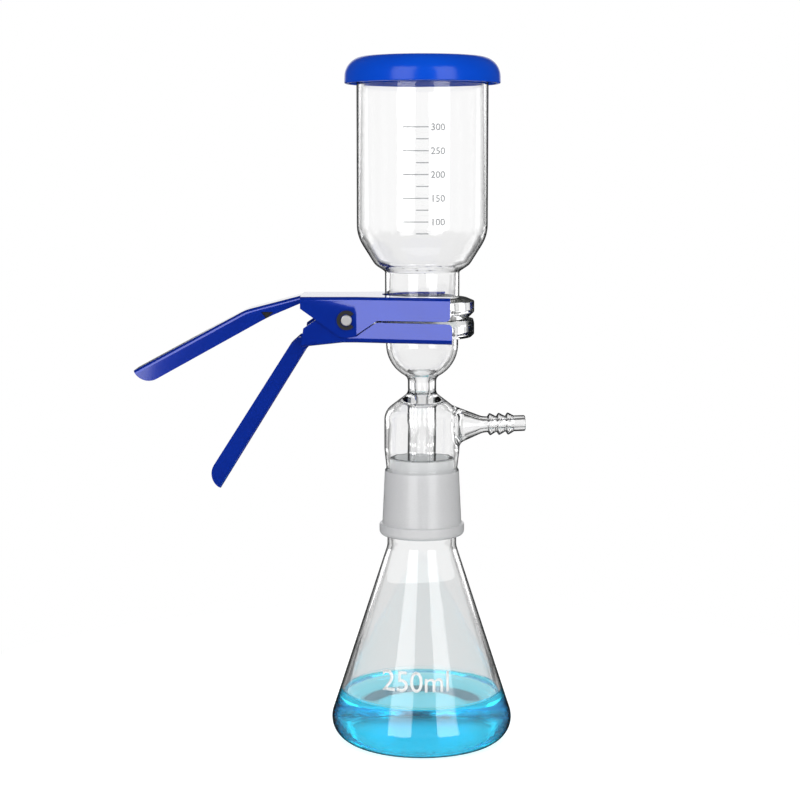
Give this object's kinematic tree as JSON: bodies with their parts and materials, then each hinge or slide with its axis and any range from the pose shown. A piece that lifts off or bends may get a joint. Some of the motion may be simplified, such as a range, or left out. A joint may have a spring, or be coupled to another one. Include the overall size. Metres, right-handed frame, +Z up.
{
  "type": "vacuum filtration unit",
  "caption": "Glass vacuum filtration unit: conical flask, filter head with hose barb and drip tube, graduated funnel, push-on lid and a squeeze clamp that holds the flanges.",
  "frame": {"origin": "centre of the flask's foot, on the table", "axes": "+Z up the glass's common axis, +X towards the hose barb, the clamp's handles towards -X"},
  "size_m": [0.2199, 0.103, 0.3872],
  "materials": {
    "clear_glass": "gloss",
    "blue_liquid": "gloss",
    "sintered_glass": "matte",
    "membrane": "matte",
    "blue_plastic": "gloss",
    "blue_aluminium": "satin",
    "steel": "satin",
    "black_steel": "satin"
  },
  "bodies": {
    "glassware": {"flask": "clear_glass", "filtrate": "blue_liquid", "filter_head": "clear_glass", "frit_disc": "sintered_glass", "membrane_filter": "membrane", "funnel": "clear_glass", "clamp_lower_arm": "blue_aluminium", "pivot_pin": "steel", "torsion_spring": "steel", "e_clip_front": "black_steel", "e_clip_rear": "black_steel"},
    "clamp_jaw": {"clamp_upper_arm": "blue_aluminium"},
    "lid": {"lid": "blue_plastic"}
  },
  "joints": [
    {"name": "clamp_hinge", "type": "hinge", "parent": "glassware", "child": "clamp_jaw", "pos_m": [-0.0419, 0, 0.24307], "axis": [0, -1, 0], "range_deg": [0, 15], "stiffness_Nm_per_rad": 0.9, "springref_deg": -31.51, "deforming": ["torsion_spring"]},
    {"name": "lid_lift", "type": "slide", "parent": "glassware", "child": "lid", "axis": [0, 0, 1], "range_m": [0, 0.03]}
  ]
}
